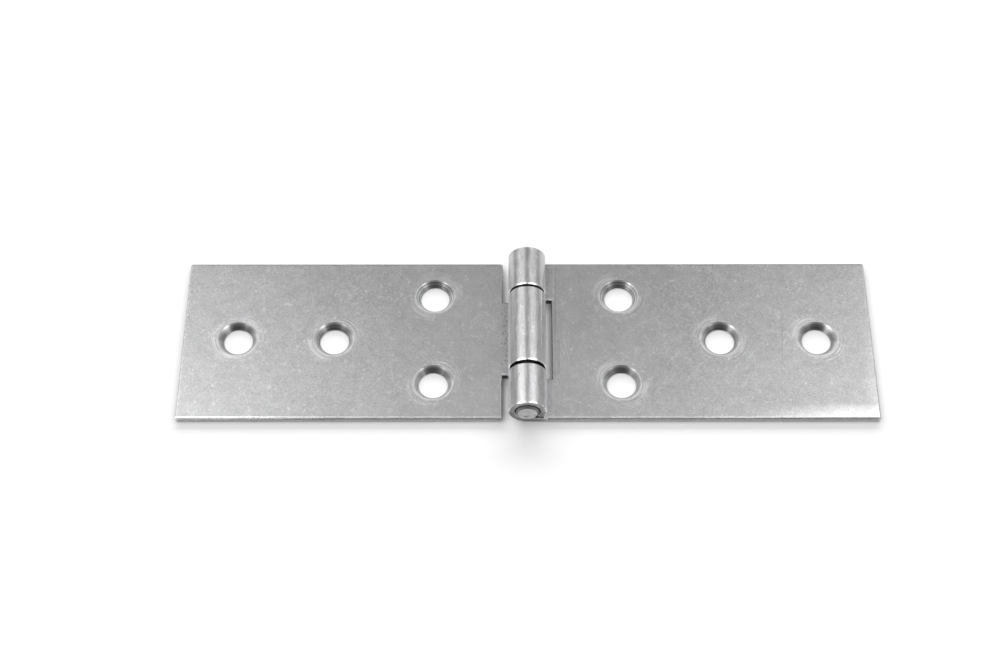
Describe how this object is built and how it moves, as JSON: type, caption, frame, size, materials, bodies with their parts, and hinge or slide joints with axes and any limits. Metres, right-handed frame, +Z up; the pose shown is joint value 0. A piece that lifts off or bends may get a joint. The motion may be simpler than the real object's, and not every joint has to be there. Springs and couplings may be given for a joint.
{
  "type": "butt hinge",
  "caption": "Rolled sheet-steel butt hinge with long flat leaves, countersunk screw holes and a plain through pin, lying open.",
  "frame": {"origin": "on the surface that the open hinge lies on, straight below the middle of the pin", "axes": "+X across the pin, towards the leaf with the two outer knuckles; +Y along the pin; +Z up, out of the leaves' countersunk side"},
  "size_m": [0.15, 0.0408, 0.0081],
  "materials": {
    "leaf_steel": "satin",
    "pin_steel": "satin"
  },
  "bodies": {
    "centre_leaf": {"centre_knuckle_leaf": "leaf_steel"},
    "outer_leaf": {"two_knuckle_leaf": "leaf_steel", "hinge_pin": "pin_steel"}
  },
  "joints": [
    {"name": "leaf_swing", "type": "hinge", "parent": "centre_leaf", "child": "outer_leaf", "pos_m": [0, 0, 0.00405], "axis": [0, -1, 0], "range_deg": [-106, 183]}
  ]
}
